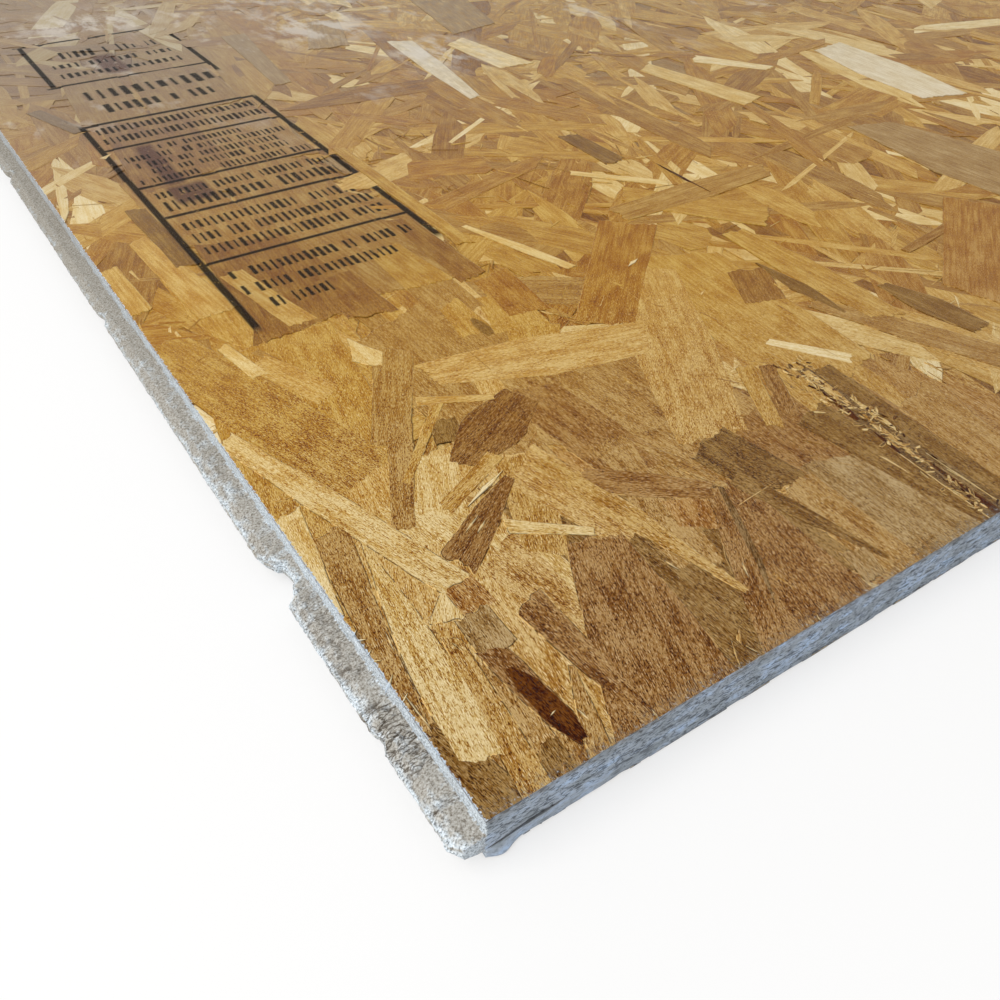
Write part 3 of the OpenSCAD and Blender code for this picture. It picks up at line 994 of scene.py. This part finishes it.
# How far the tops of the lowest and the topmost stand above the face, and how thick each is, in mm
LOWEST_TOP, HIGHEST_TOP, STRAND_T = 0.06, 0.36, 0.6

# Bright or dark slivers lying on top: one end, the other end, width, wood
SLIVERS = [
    (16.1, 30.6, 16.9, 33.3, 0.5, "ivory"), (14.4, 38.3, 9.4, 38.9, 0.9, "ivory"),
    (88.5, 49, 93, 57, 0.9, "ivory"), (86, 52, 90, 58, 0.9, "ivory"), (99, 56, 108, 77, 2.2, "ivory"),
    (0, 85, 9, 90, 0.5, "straw"), (1, 93, 5, 92, 0.4, "pale"), (240, 298, 285, 299, 2.0, "dark"),
    (200, 208, 203, 217, 2.0, "ivory"), (24, 112, 30, 115, 0.8, "ivory"), (30, 2, 44, 1.5, 0.9, "ivory"),
    (52, 22, 47, 23, 0.6, "pale"), (66, 8, 58, 6.5, 0.7, "ivory"), (38, 96, 44, 95, 0.8, "ivory"),
]
SLIVER_TOP = 0.52

# Loose fibres of the face that hang over its edges: one end, the other end, width, wood
LOOSE_FIBRES = [
    (51, 2.5, 46.5, -2.8, 1.1, "ivory"), (62, 1.5, 60.5, -1.2, 0.4, "pale"),
    (66, 2, 67.5, -0.8, 0.35, "ivory"), (71, 1.5, 69, -1.4, 0.4, "pale"),
    (43.5, 3, 41, -0.7, 0.4, "ivory"), (57, 2, 58.5, -0.9, 0.3, "pale"),
    (2.5, 12, -0.8, 12.6, 0.35, "straw"), (3, 55, -0.7, 54.4, 0.3, "pale"),
    (2, 118, -0.9, 117, 0.3, "pale"),
]
FIBRE_TOP = 0.55

# Runs of small broken bits pressed in between strands: one end, the other end, spread across, count
DEBRIS = [(2, 202, 40, 207, 2.0, 60), (40, 206, 64, 212, 3.0, 70), (64, 207, 100, 212, 3.6, 90)]


def pile_slivers(pile, slivers, top):
    """Thin pointed slivers with their tops at one height."""
    for d0, s0, d1, s1, width, wood in slivers:
        length = math.hypot(d1 - d0, s1 - s0)
        outline = [(0, width * 0.3), (length * 0.6, width / 2), (length, 0), (length * 0.5, -width / 2)]
        pile.plate(outline, math.atan2(s1 - s0, d1 - d0), (d0, s0), top, 0.3, (wood_place(wood), 0.0))


def near_strands():
    """The corner's own strands, each a little higher than the one before."""
    dice = random.Random(21)
    pile = Pile()
    step = (HIGHEST_TOP - LOWEST_TOP) / len(NEAR_STRANDS)
    for i, (d0, s0, d1, s1, widths, wood, fleck) in enumerate(NEAR_STRANDS):
        length = math.hypot(d1 - d0, s1 - s0)
        outline = strand_outline(length, widths, dice)
        values = (wood_place(wood) + dice.uniform(-0.012, 0.012), fleck)
        top = LOWEST_TOP + step * i
        pile.plate(outline, math.atan2(s1 - s0, d1 - d0), (d0, s0), top, STRAND_T, values)
    pile_slivers(pile, SLIVERS, SLIVER_TOP)
    for d0, s0, d1, s1, reach, count in DEBRIS:
        for _ in range(count):
            share, turn, length = dice.random(), dice.gauss(0, 0.7), dice.uniform(1.2, 5)
            at = (d0 + (d1 - d0) * share, s0 + (s1 - s0) * share + dice.gauss(0, reach))
            width = dice.uniform(0.5, 1.7)
            wood = dice.choice(("ivory", "pale", "straw", "tan", "plum", "umber", "bark", "dark"))
            outline = [
                (0, width * 0.4), (length * 0.4, width * 0.5), (length, width * dice.uniform(0, 0.4)),
                (length * 0.9, -width * 0.5), (length * 0.3, -width * dice.uniform(0.2, 0.5))]
            pile.plate(outline, turn, at, dice.uniform(0.34, 0.46), 0.4, (wood_place(wood), 0.5))
    return pile.finish("corner_strands")


def loose_fibres():
    """Thin fibres that hang over the edges of the face."""
    pile = Pile()
    pile_slivers(pile, LOOSE_FIBRES, FIBRE_TOP)
    return pile.finish("loose_fibres")


# How far the scattered strands run past the edges before they are cut off, in mm
OVERLAP = 50


def clip_to_edges(mesh):
    """Cuts strands off flush with the sawn edges and closes the cuts, which take the edge sealer."""
    mesh.polygons.foreach_set("material_index", np.zeros(len(mesh.polygons), int))
    work = bmesh.new()
    work.from_mesh(mesh)
    tone = work.verts.layers.float["tone"]
    planes = [((NEAR_X, 0, 0), (1, 0, 0)), ((FAR_X, 0, 0), (-1, 0, 0)),
              ((0, SHOULDER_Y, 0), (0, -1, 0)), ((0, GROOVE_Y, 0), (0, 1, 0))]
    for at, normal in planes:
        parts = work.verts[:] + work.edges[:] + work.faces[:]
        cut = bmesh.ops.bisect_plane(work, geom=parts, plane_co=at, plane_no=normal, clear_outer=True)
        rim = [e for e in cut["geom_cut"] if isinstance(e, bmesh.types.BMEdge)]
        for face in bmesh.ops.holes_fill(work, edges=rim, sides=0)["faces"]:
            face.material_index = 1
        # the cut ends stand out unevenly, by less than 0.1 mm
        for vert in {v for e in rim for v in e.verts}:
            vert.co += Vector(normal) * (0.09 * MM * (vert[tone] * 97 % 1))
    work.to_mesh(mesh)
    work.free()
    return mesh


def dress(mesh, materials):
    """Gives a mesh of strands its materials, with the printed one where the print is."""
    cut = np.empty(len(mesh.polygons), int)
    mesh.polygons.foreach_get("material_index", cut)
    centres = np.empty(len(mesh.polygons) * 3)
    mesh.polygons.foreach_get("center", centres)
    centres = centres.reshape(-1, 3)
    d, s = (NEAR_X - centres[:, 0]) / MM, (centres[:, 1] - SHOULDER_Y) / MM
    first_s, last_s, first_d, last_d = PRINTED_AREA
    inside = (d > first_d) & (d < last_d) & (s > first_s) & (s < last_s)
    cut[inside & (centres[:, 2] > TOP_Z / 2) & (cut == 0)] = 2
    mesh.materials.clear()
    for material in materials:
        mesh.materials.append(material)
    mesh.polygons.foreach_set("material_index", cut)
    paint(mesh, "seal", np.ones(len(mesh.vertices)))
    return mesh


def show(name, mesh):
    """Puts a finished mesh in the scene as part of the panel."""
    piece = in_scene(name, mesh)
    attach(piece, "root")
    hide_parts(NODE)


def build_panel():
    """The sawn body, the corner's own strands, and strands scattered over the rest of both faces."""
    sealer = sealed_edge_material()
    pressed = strand_material("pressed_wood_strands", strand_inputs, False)
    printed = strand_material("pressed_wood_strands_printed", strand_inputs, True)
    deep = strand_material("deeper_wood_strands", deep_inputs, False)
    deep_printed = strand_material("deeper_wood_strands_printed", deep_inputs, True)
    show("osb_body", body_mesh([sealer, deep_printed, deep]))
    show("corner_strands", dress(clip_to_edges(near_strands()), [pressed, sealer, printed]))
    show("loose_fibres", dress(loose_fibres(), [pressed]))

    tree = scatter_tree()
    lengths, widths = (60, 85, 105, 120, 135, 150), (5, 8, 12, 15, 20, 26, 34)
    broad = strand_templates("broad_strand", 16, (0, 0.1, 0.35, 0.7, 0.9, 1), lengths, widths)
    plain = strand_templates("plain_strand", 12, (0, 0.4, 1), lengths, widths)
    splinter = strand_templates("splinter", 10, (0, 1), (5, 7, 10, 14, 20), (0.6, 0.9, 1.3, 1.8, 2.4))
    start, end = -OVERLAP, LENGTH + OVERLAP
    thirds, halves = [np.linspace(-OVERLAP, FACE_W + OVERLAP, count + 1) for count in (3, 2)]
    stretches = [
        # name, shapes, span (d0, d1, s0, s1), strands a square metre, seed, lift, spread, on the underside
        ("corner_splinters", splinter, (-20, 420, -10, 330), 5200, 31, 0.26, 0.45, False),
        ("face_splinters", splinter, (0, LENGTH, 0, FACE_W), 850, 32, 0.06, 0.20, False)]
    for k, (low, high) in enumerate(zip(thirds, thirds[1:])):
        span = (start, end, low, high)
        stretches.append((f"face_strands_{k + 1}", broad, span, 2050, 5 + k, 0, 0.3, False))
    for k, (low, high) in enumerate(zip(halves, halves[1:])):
        span = (start, end, low, high)
        stretches.append((f"under_strands_{k + 1}", plain, span, 1900, 15 + k, 0, 0.3, True))
    under_turn = Matrix.Translation((0, SHOULDER_Y + GROOVE_Y, TOP_Z)) @ Matrix.Diagonal((1, -1, -1, 1))
    for name, shapes, spans, density, seed, lift, spread, under in stretches:
        mesh = scattered(tree, shapes, spans, density, seed, pressed, lift, spread)
        if under:
            mesh.transform(under_turn)
        show(name, dress(clip_to_edges(mesh), [pressed, sealer, printed]))


# ---------------------------------------------------------------- floor, light and camera

def area_light(name, at, aim, energy, width, height, color):
    """A soft light of width by height metres, shining from one place at another."""
    light = bpy.data.lights.new(name, "AREA")
    light.energy, light.color = energy, color
    light.shape, light.size, light.size_y = "RECTANGLE", width, height
    lamp = in_scene(name, light)
    lamp.location = at
    lamp.rotation_euler = (lamp.location - aim).to_track_quat("Z", "Y").to_euler()


def build_studio():
    """White paper under the board, a white sky, a soft key light over the corner and a window behind."""
    far = 12
    corners = [(-far, -far, 0), (far, -far, 0), (far, far, 0), (-far, far, 0)]
    paper = bpy.data.meshes.new("floor")
    paper.from_pydata(corners, [], [(0, 1, 2, 3)])
    paper.materials.append(floor_material())
    floor = in_scene("floor", paper)
    floor.location.z = -0.3 * MM

    # the sky lights the board softly, and the camera sees it plain white
    world = bpy.data.worlds.new("soft_sky")
    world.use_nodes = True
    world.node_tree.nodes.clear()
    add = partial(add_node, world.node_tree)
    strength = add("+", 0.54, add("*", seen_by_camera(add), 0.46))
    background = add("Background", (1.0, 0.995, 0.985, 1), strength)
    add("OutputWorld", {"Surface": background})
    bpy.context.scene.world = world

    corner = Vector(place(200, 150, 0))
    toward_key = Vector((0.0, -0.66, 0.75)).normalized()
    area_light("key", corner + toward_key * 2.05, corner, 32, 1.9, 1.9, (1.0, 0.99, 0.97))
    area_light("window", Vector((-4.5, 0.6, 1.3)), Vector((0, 0, 0)), 25, 4.0, 1.6, (1, 1, 1))


def build_camera():
    """A close view down onto the near tongue corner."""
    camera = bpy.data.cameras.new("camera")
    camera.sensor_width = 36
    camera.lens = 33.64
    camera.clip_start = 0.01
    holder = in_scene("camera", camera)
    # the ways to the right and up in the view
    right = Vector((0.552587, 0.833388, 0.010608))
    up = Vector((-0.560098, 0.361894, 0.745200))
    turned = Matrix((right, up, right.cross(up))).transposed().to_4x4()
    holder.matrix_world = Matrix.Translation(place(-98.2, -63.7, 209.6)) @ turned
    bpy.context.scene.camera = holder


build_panel()
build_studio()
build_camera()
bpy.context.scene.view_settings.view_transform = "Standard"
